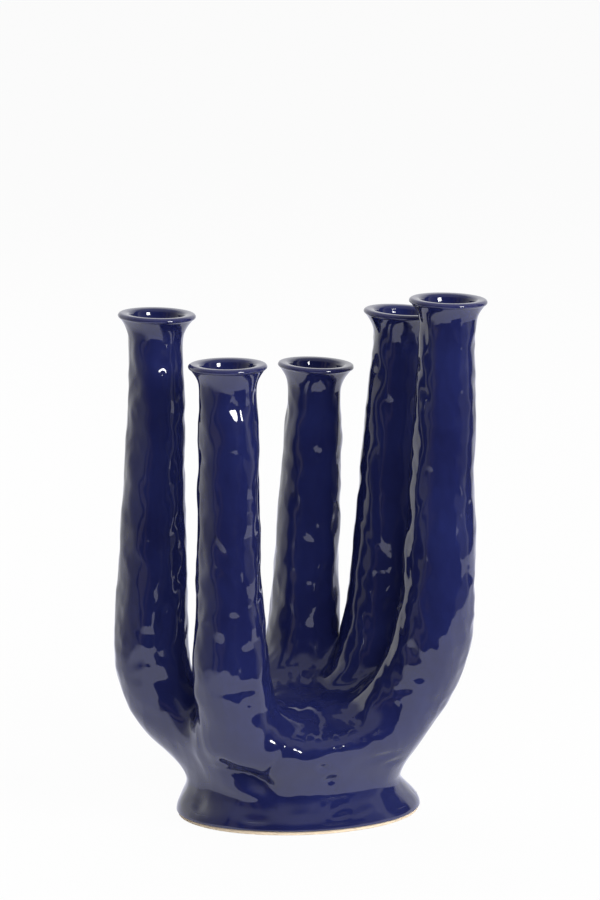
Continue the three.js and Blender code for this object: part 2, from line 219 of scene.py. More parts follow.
def oval_gap(oval, x, y, scale=1.0):
    turn = np.radians(oval["turn"])
    dx, dy = x - oval["x"], y - oval["y"]
    u = (dx * np.cos(turn) + dy * np.sin(turn)) / oval["across"]
    v = (dy * np.cos(turn) - dx * np.sin(turn)) / oval["deep"]
    slope = 2 * np.hypot(u / oval["across"], v / oval["deep"])
    return (u * u + v * v - scale * scale) / np.maximum(slope, 1 / oval["across"])


def skirt_oval(height, bare_edge):
    """The foot's outline at one or more heights."""
    share = ease(height, bare_edge, WAIST) ** SKIRT_POWER
    return {key: FOOT_OVAL[key] + (WAIST_OVAL[key] - FOOT_OVAL[key]) * share for key in FOOT_OVAL}


def bend_line(arm, t):
    return (1 - t) ** 2 * arm.root + 2 * t * (1 - t) * arm.corner + t ** 2 * arm.socket


def bend_radius(arm, t):
    return arm.first + (arm.wide - arm.first) * t ** BEND_POWER


def tube_radius(arm, height, collar_height):
    """Outside radius above the socket. It leaves the socket with the bend's own taper."""
    reach = arm.length - collar_height
    share = np.clip(height / reach, 0, 1)
    start = arm.taper * reach / (arm.neck - arm.wide)
    return arm.wide + (arm.neck - arm.wide) * (share * (start + share * (3 - 2 * start + share * (start - 2))))


def arm_gap(arm, p):
    """The arm's own field, and a share that fades from 1 in the bend to 0 at the socket."""
    t = np.linspace(0, 1, BEND_STEPS + 1)
    line, size = bend_line(arm, t[:, None]), bend_radius(arm, t)
    least, place = np.full(len(p), np.inf), np.zeros(len(p))
    for k in range(BEND_STEPS):
        step = line[k + 1] - line[k]
        away = p - line[k]
        share = np.clip(away @ step / (step @ step), 0, 1)
        aside = np.linalg.norm(away - share[:, None] * step, axis=1)
        gap = aside - (size[k] + (size[k + 1] - size[k]) * share)
        closer = gap < least
        least = np.where(closer, gap, least)
        place = np.where(closer, (k + share) / BEND_STEPS, place)
    # From the chain of steps to the true curve.
    curve = 2 * (arm.socket - 2 * arm.corner + arm.root)
    for _ in range(2):
        at = place[:, None]
        away = p - bend_line(arm, at)
        way = 2 * (1 - at) * (arm.corner - arm.root) + 2 * at * (arm.socket - arm.corner)
        turn = (way * way).sum(1) - away @ curve
        place = np.clip(place + (away * way).sum(1) / np.maximum(turn, LEAST_TURN), 0, 1)
    bend = np.linalg.norm(p - bend_line(arm, place[:, None]), axis=1) - bend_radius(arm, place)
    height, aside = about_axis(p, arm.socket, arm.rise)
    tube = aside - tube_radius(arm, height, COLLAR_HEIGHT)
    return np.where(height > 0, tube, bend), ease(-height, 0, BEND_FADE)


def clay_gap(p, bare_edge):
    """The whole outside: foot, pod, palm and arms in one."""
    x, y, z = p[:, 0], p[:, 1], p[:, 2]
    side = oval_gap(WAIST_OVAL, x, y, 1 + (SHOULDER_SWELL - 1) * ease(z, WAIST, SHOULDER))
    low = z < WAIST
    if low.any():
        side[low] = oval_gap(skirt_oval(z[low], bare_edge), x[low], y[low])
    top = (z - PALM - PALM_SLOPE * y) / math.hypot(1, PALM_SLOPE)
    pod = -melt(-side, -top, PALM_ROUND)
    arms, soft = np.full(len(p), np.inf), np.zeros(len(p))
    for arm in ARMS.values():
        gap, below = arm_gap(arm, p)
        closer = gap < arms
        arms = melt(arms, gap, np.maximum(CLEFT_BLEND * np.minimum(below, soft), LEAST_BLEND))
        soft = np.where(closer, below, soft)
    return melt(pod, arms, np.maximum(PALM_BLEND * (0.1 + 0.9 * soft), LEAST_BLEND))


def slope_of(field, p):
    steps = EPS * np.eye(3)
    return np.stack([(field(p + step) - field(p - step)) / (2 * EPS) for step in steps], 1)


# Finger marks: smooth noise in space, the same on every piece, so that it runs on over the joints.
def soft_noise(q, seed):
    """Gradient noise in about -1..1."""
    cell = np.floor(q).astype(np.int64)
    part = q - cell
    fade = part ** 3 * (part * (part * 6 - 15) + 10)
    total = np.zeros(len(q))
    for bits in range(8):
        corner = np.array([bits & 1, bits >> 1 & 1, bits >> 2 & 1])
        key = (cell + corner) @ NOISE_STEPS + seed * NOISE_SEED
        key = (key ^ (key >> 13)) * NOISE_MIX & 0x7FFFFFFF
        key = (key ^ (key >> 11)) & 0x7FFFFFFF
        angle = (key & 0xFFFF) / 65536 * 2 * np.pi
        lift = (key >> 16 & 0x7FFF) / 32768 * 2 - 1
        flat = np.sqrt(1 - lift * lift)
        way = np.stack([flat * np.cos(angle), flat * np.sin(angle), lift], 1)
        share = np.where(corner == 1, fade, 1 - fade).prod(1)
        total += share * ((part - corner) * way).sum(1)
    return total * 1.6


def thumb_marks(p):
    """Depth of the single thumb marks at points of the outside, in millimetres."""
    total = np.zeros(len(p))
    for x, y, z, wide, tall, lean, depth in THUMB_MARKS:
        near = np.flatnonzero(np.abs(p - [x, y, z]).max(1) < 3 * max(wide, tall))
        if len(near) == 0:
            continue
        across, inward, up = (p[near] - [x, y, z]).T
        turn = math.radians(lean)
        u = across * math.cos(turn) + up * math.sin(turn)
        v = up * math.cos(turn) - across * math.sin(turn)
        total[near] += depth * np.exp(-(u / wide) ** 2 - (v / tall) ** 2 - (inward / THUMB_REACH) ** 2)
    return total


def finger_marks(p, depth, pitch):
    """How far the skin is pushed out (or in) at points of the outside, in millimetres."""
    z = p[:, 2]
    upper = ease(z, 38, 105)

    def layer(size, shift, seed):
        return soft_noise(p / (np.array([0.8, 0.8, 1.25]) * pitch * size) + shift, seed)

    dents = layer(1.0, 11.3, 3) * (0.5 + 0.3 * upper)
    crease = 0.45 - np.sqrt(layer(0.85, 5.7, 7) ** 2 + 0.01) * (0.55 + 0.35 * upper)
    small = layer(0.45, 8.9, 9) * (0.06 + 0.14 * upper)
    drift = layer(2.1, 2.1, 5) * 0.8
    push = depth * (dents + crease * 0.8 + small + drift) - 0.55 * depth
    # Calmer at the foot's edge, in the palm and on the collars.
    palm = np.exp(-(((p - [12, -14, 76]) / [34, 34, 16]) ** 2).sum(1))
    push *= ease(z, 1.5, 14) * (1 + 0.25 * upper) * (1 - 0.6 * palm)
    stout = np.zeros(len(p))
    for arm in ARMS.values():
        height, aside = about_axis(p, arm.mouth, arm.rise)
        push = np.where(aside < 32, push * (0.25 + 0.75 * ease(-height, 4, 22)), push)
        stout = np.maximum(stout, ARM_SWELL * ease(-height, 22, 55) * (1 - ease(aside, 26, 34)))
    stout *= ease(z, 78, 116) * (1 - 0.9 * ease(-p[:, 0], 96, 116))
    bend = BEND_SWELL * ease(p[:, 0], 62, 96) * ease(z, 58, 82) * (1 - ease(z, 118, 165))
    return push + stout + bend - thumb_marks(p)


def marked(p, n, sizes):
    """Points and normals after the finger marks."""
    depth, pitch = sizes.finger_depth / MM, sizes.finger_pitch / MM
    slope = slope_of(lambda q: finger_marks(q, depth, pitch), p)
    along = slope - (slope * n).sum(1, keepdims=True) * n
    return p + n * finger_marks(p, depth, pitch)[:, None], unit(n - along)


# Mesh helpers.
def lattice(axes):
    return np.stack(np.meshgrid(*axes, indexing="ij"), -1)


def net_of(field, low, high, cell):
    """Four-sided net where a field is zero, with one point in each grid cell that it crosses."""
    axes = [np.arange(low[k], high[k] + cell, cell) for k in range(3)]
    shape = tuple(len(a) for a in axes)
    # A rough grid first, so that the field is worked out finely only near the surface.
    rough = [np.append(a[::ROUGH], a[::ROUGH][-1] + cell * ROUGH) for a in axes]
    rough_values = field(lattice(rough).reshape(-1, 3)).reshape([len(r) for r in rough])
    index = lattice([np.arange(n) // ROUGH for n in shape])
    guess = rough_values[index[..., 0], index[..., 1], index[..., 2]]
    values = np.where(guess < 0, -FAR, FAR)
    where = np.argwhere(np.abs(guess) < cell * ROUGH * 1.9)
    points = np.stack([axes[k][where[:, k]] for k in range(3)], 1)
    for start in range(0, len(points), BATCH):
        part = slice(start, start + BATCH)
        values[tuple(where[part].T)] = field(points[part])
    # Each cell's point is the mean of where the surface crosses its edges.
    cells = tuple(n - 1 for n in shape)
    total, count = np.zeros(cells + (3,)), np.zeros(cells)
    for axis in range(3):
        one, two = [k for k in range(3) if k != axis]
        for a, b in ((0, 0), (0, 1), (1, 0), (1, 1)):
            near = [slice(0, n) for n in cells]
            near[one], near[two] = slice(a, cells[one] + a), slice(b, cells[two] + b)
            ahead = list(near)
            ahead[axis] = slice(1, cells[axis] + 1)
            va, vb = values[tuple(near)], values[tuple(ahead)]
            cross = (va < 0) != (vb < 0)
            offset = np.zeros(cells + (3,))
            offset[..., axis] = np.where(cross, va / np.where(cross, va - vb, 1), 0)
            offset[..., one], offset[..., two] = a, b
            total += np.where(cross[..., None], offset, 0)
            count += cross
    used = count > 0
    number = np.full(cells, -1)
    number[used] = np.arange(used.sum())
    verts = lattice([a[:-1] for a in axes])[used] + total[used] / count[used][:, None] * cell
    # Each crossed edge gives one face between the four cells round it.
    inside, faces = values < 0, []
    for axis in range(3):
        one, two = (axis + 1) % 3, (axis + 2) % 3
        near = [slice(1, n - 1) for n in shape]
        near[axis] = slice(0, cells[axis])
        ahead = list(near)
        ahead[axis] = slice(1, shape[axis])
        spot = np.argwhere(inside[tuple(near)] != inside[tuple(ahead)])
        spot = spot + [0 if k == axis else 1 for k in range(3)]
        ring = []
        for a, b in ((0, 0), (1, 0), (1, 1), (0, 1)):
            at = spot.copy()
            at[:, one] -= a
            at[:, two] -= b
            ring.append(number[tuple(at.T)])
        ring = np.stack(ring, 1)
        enters = ~inside[tuple(spot.T)]
        ring[enters] = ring[enters][:, ::-1]
        faces.append(ring)
    return verts, np.vstack(faces)


def settle(field, p, fixed=None):
    """Draws points onto the surface along its slope; fixed is a plane's normal that they stay on."""
    for _ in range(3):
        slope = slope_of(field, p)
        if fixed is not None:
            slope = slope - (slope @ fixed)[:, None] * fixed
        p = p - slope * (field(p) / np.maximum((slope * slope).sum(1), 0.1))[:, None]
    return p


def cut(verts, tris, value, flags):
    """Keeps the part of a triangle net where value is below 0. flags are marks on points; the new rim's
    is added to them."""
    value = np.where(np.abs(value) < 1e-6, -1e-6, value)
    keep = value < 0
    corner = keep[tris]
    made, points, out = {}, [], []

    def between(a, b):
        key = (min(a, b), max(a, b))
        if key not in made:
            made[key] = len(verts) + len(points)
            points.append(verts[a] + (verts[b] - verts[a]) * (value[a] / (value[a] - value[b])))
        return made[key]

    for tri in tris[corner.any(1) & ~corner.all(1)].tolist():
        ring = []
        for a, b in zip(tri, tri[1:] + tri[:1]):
            if keep[a]:
                ring.append(a)
            if keep[a] != keep[b]:
                ring.append(between(a, b))
        out.append(ring[:3])
        if len(ring) == 4:
            out.append([ring[0], ring[2], ring[3]])
    rim = np.arange(len(verts) + len(points)) >= len(verts)
    flags = [np.concatenate([flag, np.zeros(len(points), bool)]) for flag in flags] + [rim]
    verts, tris = np.vstack([verts, points]), np.vstack([tris[corner.all(1)], out])
    used = np.zeros(len(verts), bool)
    used[tris.ravel()] = True
    return verts[used], (np.cumsum(used) - 1)[tris], [flag[used] for flag in flags]


def ring_bridge(outer, inner, verts, middle, normal):
    """Triangles between two rings of points around a middle, facing along normal."""
    side = np.cross(normal, (1.0, 0.0, 0.0))
    side /= np.linalg.norm(side)
    up = np.cross(normal, side)

    def in_order(ring):
        away = verts[ring] - middle
        angle = np.arctan2(away @ up, away @ side)
        order = np.argsort(angle)
        return ring[order], angle[order]

    (outer, a), (inner, b) = in_order(outer), in_order(inner)
    i = j = 0
    tris = []
    while i < len(outer) or j < len(inner):
        o, n = outer[i % len(outer)], inner[j % len(inner)]
        if j >= len(inner) or (i < len(outer) and a[i] <= b[j]):
            i += 1
            tris.append([o, outer[i % len(outer)], n])
        else:
            j += 1
            tris.append([o, inner[j % len(inner)], n])
    tris = np.array(tris)
    face = np.cross(verts[tris[:, 1]] - verts[tris[:, 0]], verts[tris[:, 2]] - verts[tris[:, 0]])
    back = face @ normal < 0
    tris[back] = tris[back][:, ::-1]
    return tris


def bands(count, sides, closed):
    """Four-sided faces between rings of points, and on to the first ring again where they are closed."""
    pairs = [(k * sides, (k + 1) % count * sides) for k in range(count if closed else count - 1)]
    return [(a + j, a + (j + 1) % sides, b + (j + 1) % sides, b + j) for a, b in pairs for j in range(sides)]


def shrunk(ring, inset, height):
    """A ring drawn towards its middle and set at a height."""
    ring = ring.copy()
    ring[:, :2] -= unit(ring[:, :2] - ring[:, :2].mean(0)) * inset
    ring[:, 2] = height
    return ring


def placed(name, data):
    made = bpy.data.objects.new(name, data)
    bpy.context.scene.collection.objects.link(made)
    return made


def plain_object(name, verts, faces, material):
    mesh = bpy.data.meshes.new(name)
    mesh.from_pydata(verts, [], faces)
    mesh.materials.append(material)
    return placed(name, mesh)


def read(items, key, width=1, kind=float):
    """One value or vector from each mesh element."""
    values = np.zeros(len(items) * width, kind)
    items.foreach_get(key, values)
    return values.reshape(-1, width) if width > 1 else values


def new_piece(name, nodes, verts_mm, faces, material, normals=None, flat=None, thin=None):
    """A finished piece: mesh in the frame, shading normals, material and its place in the frame. Faces whose
    points are all flat keep their own normal; thin is how far the glaze breaks over an edge."""
    points = np.clip((verts_mm + FOOT_MIDDLE) * MM, CAD_BOX[0], CAD_BOX[1])
    obj = plain_object(name, points.tolist(), [list(f) for f in faces], material)
    mesh = obj.data
    mesh.validate(clean_customdata=False)
    mesh.update()
    if normals is None:
        normals = np.array([vertex.normal for vertex in mesh.vertices])
    if flat is None:
        flat = np.zeros(len(points), bool)
    mesh.shade_smooth()
    loops = read(mesh.loops, "vertex_index", kind=np.int64)
    counts = read(mesh.polygons, "loop_total", kind=np.int64)
    owner = np.repeat(np.arange(len(counts)), counts)
    flat_face = np.logical_and.reduceat(flat[loops], np.concatenate([[0], np.cumsum(counts)[:-1]]))
    corner = np.where(flat_face[owner][:, None], read(mesh.polygons, "normal", 3)[owner], normals[loops])
    rim = np.bincount(read(mesh.loops, "edge_index", kind=np.int64), flat_face[owner], len(mesh.edges)) == 1
    mesh.attributes.new("sharp_edge", "BOOLEAN", "EDGE").data.foreach_set("value", rim)
    mesh.normals_split_custom_set(unit(corner).tolist())
    if thin is not None:
        layer = mesh.attributes.new("thin_glaze", "FLOAT", "POINT")
        layer.data.foreach_set("value", np.broadcast_to(thin, len(points)).astype(np.float32))
    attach(obj, "root")
    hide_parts(*nodes)


# Node helpers.
def add_node(tree, kind, inputs=None, **settings):
    """Adds a node with its settings. Each input, by name or number, gets a value or another node's output."""
    made = tree.nodes.new(kind)
    row, column = divmod(len(tree.nodes), 8)
    made.location = (column * 220, -row * 320)
    for key, value in settings.items():
        setattr(made, key, value)
    for key, value in (inputs or {}).items():
        if isinstance(value, bpy.types.NodeSocket):
            tree.links.new(value, made.inputs[key])
        else:
            made.inputs[key].default_value = value
    return made


def math_node(tree, operation, *values, clamp=False):
    return add_node(tree, "ShaderNodeMath", dict(enumerate(values)), operation=operation, use_clamp=clamp).outputs[0]


def noise(tree, coords, scale, detail, roughness=0.5):
    return add_node(tree, "ShaderNodeTexNoise", {"Vector": coords, "Scale": scale, "Detail": detail,
                                                 "Roughness": roughness}).outputs[0]


def colour_ramp(tree, share, stops):
    """Colour by a share from 0 to 1; stops are (place, colour), from low to high."""
    made = add_node(tree, "ShaderNodeValToRGB", {0: share})
    elements = made.color_ramp.elements
    elements.remove(elements[1])
    for number, (place, colour) in enumerate(stops):
        element = elements.new(place) if number else elements[0]
        element.position = place
        element.color = (*colour, 1)
    return made.outputs[0]


def mixed(tree, share, first, second):
    return add_node(tree, "ShaderNodeMix", {"Factor": share, "A": first, "B": second},
                    data_type="RGBA").outputs["Result"]


def ranged(tree, value, low, high, first=0.0, last=1.0, **settings):
    return add_node(tree, "ShaderNodeMapRange", {"Value": value, "From Min": low, "From Max": high,
                                                 "To Min": first, "To Max": last}, **settings).outputs[0]


def turned_shell_tree():
    """Geometry Nodes: turns a closed row of profile points about an arm's line. Each point of the input mesh
    holds the half width, half depth and height of one ring, and its attribute an outward direction."""
    name = "turned_shell"
    if name in bpy.data.node_groups:
        return bpy.data.node_groups[name]
    tree = bpy.data.node_groups.new(name, "GeometryNodeTree")
    for label, kind, default in (("Geometry", "Geometry", None), ("Sides", "Int", 96), ("Start", "Vector", None),
                                 ("Direction", "Vector", (0, 0, 1)), ("Material", "Material", None)):
        socket = tree.interface.new_socket(label, in_out="INPUT", socket_type="NodeSocket" + kind)
        if default is not None:
            socket.default_value = default
    tree.interface.new_socket("Geometry", in_out="OUTPUT", socket_type="NodeSocketGeometry")
    enter = add_node(tree, "NodeGroupInput").outputs
    size = add_node(tree, "GeometryNodeAttributeDomainSize", {"Geometry": enter["Geometry"]}, component="MESH")
    count = size.outputs["Point Count"]
    around = math_node(tree, "ADD", enter["Sides"], 1)
    grid = add_node(tree, "GeometryNodeMeshGrid",
                    {"Vertices X": math_node(tree, "ADD", count, 1), "Vertices Y": around})
    index = add_node(tree, "GeometryNodeInputIndex").outputs[0]
    ring = math_node(tree, "FLOOR", math_node(tree, "DIVIDE", index, around))
    turn = math_node(tree, "SUBTRACT", index, math_node(tree, "MULTIPLY", ring, around))
    wrapped = math_node(tree, "MODULO", ring, count)
    angle = math_node(tree, "MULTIPLY", math_node(tree, "DIVIDE", turn, enter["Sides"]), 2 * math.pi)
    cosine, sine = math_node(tree, "COSINE", angle), math_node(tree, "SINE", angle)
    upright = add_node(tree, "FunctionNodeAlignRotationToVector", {"Vector": enter["Direction"]}, axis="Z").outputs[0]

    def spun(value):
        """The profile's own vector for this ring, turned to this side and stood along the arm."""
        sample = add_node(tree, "GeometryNodeSampleIndex",
                          {"Geometry": enter["Geometry"], "Value": value, "Index": wrapped},
                          data_type="FLOAT_VECTOR", domain="POINT")
        split = add_node(tree, "ShaderNodeSeparateXYZ", {0: sample.outputs["Value"]}).outputs
        join = add_node(tree, "ShaderNodeCombineXYZ", {0: math_node(tree, "MULTIPLY", split[0], cosine),
                                                       1: math_node(tree, "MULTIPLY", split[1], sine), 2: split[2]})
        return add_node(tree, "FunctionNodeRotateVector", {"Vector": join.outputs[0], "Rotation": upright}).outputs[0]

    stored = add_node(tree, "GeometryNodeInputNamedAttribute", {"Name": "outward"}, data_type="FLOAT_VECTOR")
    profile = add_node(tree, "GeometryNodeInputPosition").outputs[0]
    place = add_node(tree, "ShaderNodeVectorMath", {0: spun(profile), 1: enter["Start"]}, operation="ADD")
    moved = add_node(tree, "GeometryNodeSetPosition",
                     {"Geometry": grid.outputs["Mesh"], "Position": place.outputs[0]})
    kept = add_node(tree, "GeometryNodeStoreNamedAttribute",
                    {"Geometry": moved.outputs[0], "Name": "outward", "Value": spun(stored.outputs["Attribute"])},
                    data_type="FLOAT_VECTOR", domain="POINT")
    merged = add_node(tree, "GeometryNodeMergeByDistance", {"Geometry": kept.outputs[0], "Distance": 1e-6})
    real = add_node(tree, "GeometryNodeRealizeInstances", {0: merged.outputs[0]})
    painted = add_node(tree, "GeometryNodeSetMaterial", {"Geometry": real.outputs[0], "Material": enter["Material"]})
    add_node(tree, "NodeGroupOutput", {0: painted.outputs[0]})
    return tree


def turned(profile, outward, sides, start, direction, material):
    """Runs the tree on a closed profile of (radius, height) and returns the plain mesh's points, faces and
    outward directions."""
    mesh = bpy.data.meshes.new("profile")
    mesh.from_pydata([(r, r, h) for r, h in profile], [], [])
    layer = mesh.attributes.new("outward", "FLOAT_VECTOR", "POINT")
    layer.data.foreach_set("vector", np.array([(r, r, h) for r, h in outward], np.float32).ravel())
    holder = placed("profile", mesh)
    modifier = holder.modifiers.new("turned", "NODES")
    modifier.node_group = turned_shell_tree()
    values = {"Sides": sides, "Start": tuple(start), "Direction": tuple(direction), "Material": material}
    for socket in modifier.node_group.interface.items_tree:
        if socket.in_out == "INPUT" and socket.name in values:
            modifier[socket.identifier] = values[socket.name]
    bpy.context.view_layer.update()
    plain = bpy.data.meshes.new_from_object(holder.evaluated_get(bpy.context.evaluated_depsgraph_get()))
    holder.modifiers.clear()
    bpy.data.objects.remove(holder)
    bpy.data.meshes.remove(mesh)
    points, ways = read(plain.vertices, "co", 3), read(plain.attributes["outward"].data, "vector", 3)
    faces = [tuple(polygon.vertices) for polygon in plain.polygons]
    bpy.data.meshes.remove(plain)
    volume = sum(np.dot(points[f[0]], np.cross(points[f[k]], points[f[k + 1]]))
                 for f in faces for k in range(1, len(f) - 1))
    return points, [f[::-1] for f in faces] if volume < 0 else faces, unit(ways)


# Materials.
def made_once(name, fill, look):
    """The material of this name, which fill makes at its first use."""
    if name not in bpy.data.materials:
        material = bpy.data.materials.new(name)
        material.use_nodes = True
        tree = material.node_tree
        fill(tree, tree.nodes["Principled BSDF"], add_node(tree, "ShaderNodeTexCoord").outputs["Object"], look)
    return bpy.data.materials[name]


def glaze_nodes(tree, shader, coords, look):
    """Cobalt glaze that pools in clouds, breaks over the edges and ripples finely."""
    shader.inputs["IOR"].default_value = look.glaze_ior
    shader.inputs["Specular IOR Level"].default_value = 0.5
    clouds = noise(tree, coords, 22, 5, 0.55)
    body = colour_ramp(tree, clouds, ((0.33, look.glaze_pooled), (0.68, look.glaze_even)))
    grains = math_node(tree, "MULTIPLY_ADD", noise(tree, coords, 420, 3), 0.5, 0.72)
    edge = add_node(tree, "ShaderNodeAttribute", attribute_name="thin_glaze").outputs["Fac"]
    share = math_node(tree, "MULTIPLY", edge, grains, clamp=True)
    rough = ranged(tree, clouds, 0.0, 1.0, look.glaze_roughness * 0.6, look.glaze_roughness * 1.5)
    bump = add_node(tree, "ShaderNodeBump", {"Strength": 1.0, "Distance": look.ripple_height,
                                             "Height": noise(tree, coords, 95, 2)})
    tree.links.new(mixed(tree, share, body, (*look.glaze_thin, 1)), shader.inputs["Base Color"])
    tree.links.new(rough, shader.inputs["Roughness"])
    tree.links.new(bump.outputs[0], shader.inputs["Normal"])


def clay_nodes(tree, shader, coords, look):
    """Bare fired clay with a fine grain."""
    shader.inputs["Roughness"].default_value = 0.85
    grain = noise(tree, coords, 260, 6)
    colour = colour_ramp(tree, grain, ((0.3, [c * 0.9 for c in look.clay]), (0.65, look.clay)))
    bump = add_node(tree, "ShaderNodeBump", {"Strength": 0.6, "Distance": 0.0002, "Height": grain})
    tree.links.new(colour, shader.inputs["Base Color"])
    tree.links.new(bump.outputs[0], shader.inputs["Normal"])


def glaze_material(look):
    return made_once("cobalt_glaze_detail", glaze_nodes, look)


def clay_material(look):
    return made_once("bare_clay_detail", clay_nodes, look)


class VaseSizes(bpy.types.PropertyGroup):
    """Sizes of the clay."""
    wall: FloatProperty(name="Wall", description="Thickness of the clay", default=0.005, min=0.002, unit="LENGTH")
    finger_depth: FloatProperty(name="Finger marks", description="Depth of the finger marks", default=0.0009,
                                min=0, unit="LENGTH")
    finger_pitch: FloatProperty(name="Finger width", description="Size of one finger mark", default=0.017,
                                min=0.005, unit="LENGTH")
    net_cell: FloatProperty(name="Net", description="Spacing of the body's net", default=0.0017, min=0.0008,
                            unit="LENGTH")
    bare_edge: FloatProperty(name="Bare edge", description="Height of the unglazed line at the foot",
                             default=0.0023, min=0, unit="LENGTH")
    slab_top: FloatProperty(name="Slab top", description="Height of the slab's top inside the foot",
                            default=0.008, unit="LENGTH")
    collar_height: FloatProperty(name="Collar height", description="Height of each turned collar",
                                 default=COLLAR_HEIGHT * MM, unit="LENGTH")
    lip_radius: FloatProperty(name="Lip radius", description="Outside radius of each lip", default=0.0258,
                              unit="LENGTH")
    lip_round: FloatProperty(name="Lip roundness", description="Half the thickness of the rolled edge",
                             default=0.0019, unit="LENGTH")
    mouth_radius: FloatProperty(name="Mouth radius", description="Radius where the lip turns in", default=0.0172,
                                unit="LENGTH")
    flare_depth: FloatProperty(name="Flare depth", description="Height over which a collar flares", default=0.012,
                               unit="LENGTH")
    funnel_depth: FloatProperty(name="Funnel depth", description="Depth at which the mouth meets the bore",
                                default=0.015, unit="LENGTH")
    throat_pinch: FloatProperty(name="Throat pinch", description="How far the throat is drawn in", default=0.0006,
                                unit="LENGTH")
    sides: IntProperty(name="Sides", description="Faces around each arm", default=96, min=24)


class VaseFinish(bpy.types.PropertyGroup):
    """Colours and gloss of the glaze and the clay."""
    glaze_even: FloatVectorProperty(name="Glaze", description="Glaze where it lies evenly",
                                    default=(0.0145, 0.0195, 0.098), min=0, max=1, subtype="COLOR")
    glaze_pooled: FloatVectorProperty(name="Pooled glaze", description="Glaze where it lies thickly",
                                      default=(0.0105, 0.0130, 0.068), min=0, max=1, subtype="COLOR")
    glaze_thin: FloatVectorProperty(name="Thin glaze", description="Glaze that breaks over an edge",
                                    default=(0.035, 0.036, 0.12), min=0, max=1, subtype="COLOR")
    glaze_roughness: FloatProperty(name="Glaze roughness", description="Roughness of the glaze", default=0.045,
                                   min=0, max=1, subtype="FACTOR")
    glaze_ior: FloatProperty(name="Glaze IOR", description="Refractive index of the glaze", default=1.68, min=1,
                             max=3)
    ripple_height: FloatProperty(name="Ripple", description="Height of the glaze's fine ripple", default=0.00003,
                                 min=0, unit="LENGTH", precision=6)
    clay: FloatVectorProperty(name="Clay", description="Bare fired clay", default=(1.0, 0.82, 0.6), min=0, max=1,
                              subtype="COLOR")


class VaseStudio(bpy.types.PropertyGroup):
    """Camera and lights."""
    camera_distance: FloatProperty(name="Camera distance", description="Camera's distance in front",
                                   default=2.942, unit="LENGTH")
    camera_height: FloatProperty(name="Camera height", description="Camera's height above the table",
                                 default=0.817, unit="LENGTH")
    camera_pitch: FloatProperty(name="Camera pitch", description="How far the camera looks down",
                                default=math.radians(11), subtype="ANGLE")
    focal_length: FloatProperty(name="Focal length", description="Lens for a 36 mm high picture", default=181.6,
                                min=10)
    paper_reach: FloatProperty(name="Paper", description="How far the lit paper reaches to the front",
                               default=0.60, unit="LENGTH")
    paper_side: FloatProperty(name="Paper side", description="How far the lit paper reaches to the right",
                              default=0.80, unit="LENGTH")
    window_power: FloatProperty(name="Window", description="Power of the window at the front right", default=22.0,
                                unit="POWER")
    window_bearing: FloatProperty(name="Window bearing", description="Window's bearing from the front",
                                  default=math.radians(40), subtype="ANGLE")
    window_height: FloatProperty(name="Window height", description="Window's angle above the table",
                                 default=math.radians(18), subtype="ANGLE")
    soft_power: FloatProperty(name="Soft light", description="Power of the large soft light on the right",
                              default=36.0, unit="POWER")
    soft_bearing: FloatProperty(name="Soft bearing", description="Soft light's bearing from the front",
                                default=math.radians(57), subtype="ANGLE")
    fill_power: FloatProperty(name="Fill", description="Power of the soft light above the front", default=26.0,
                              unit="POWER")
    back_power: FloatProperty(name="Back light", description="Power of the soft light behind", default=30.0,
                              unit="POWER")


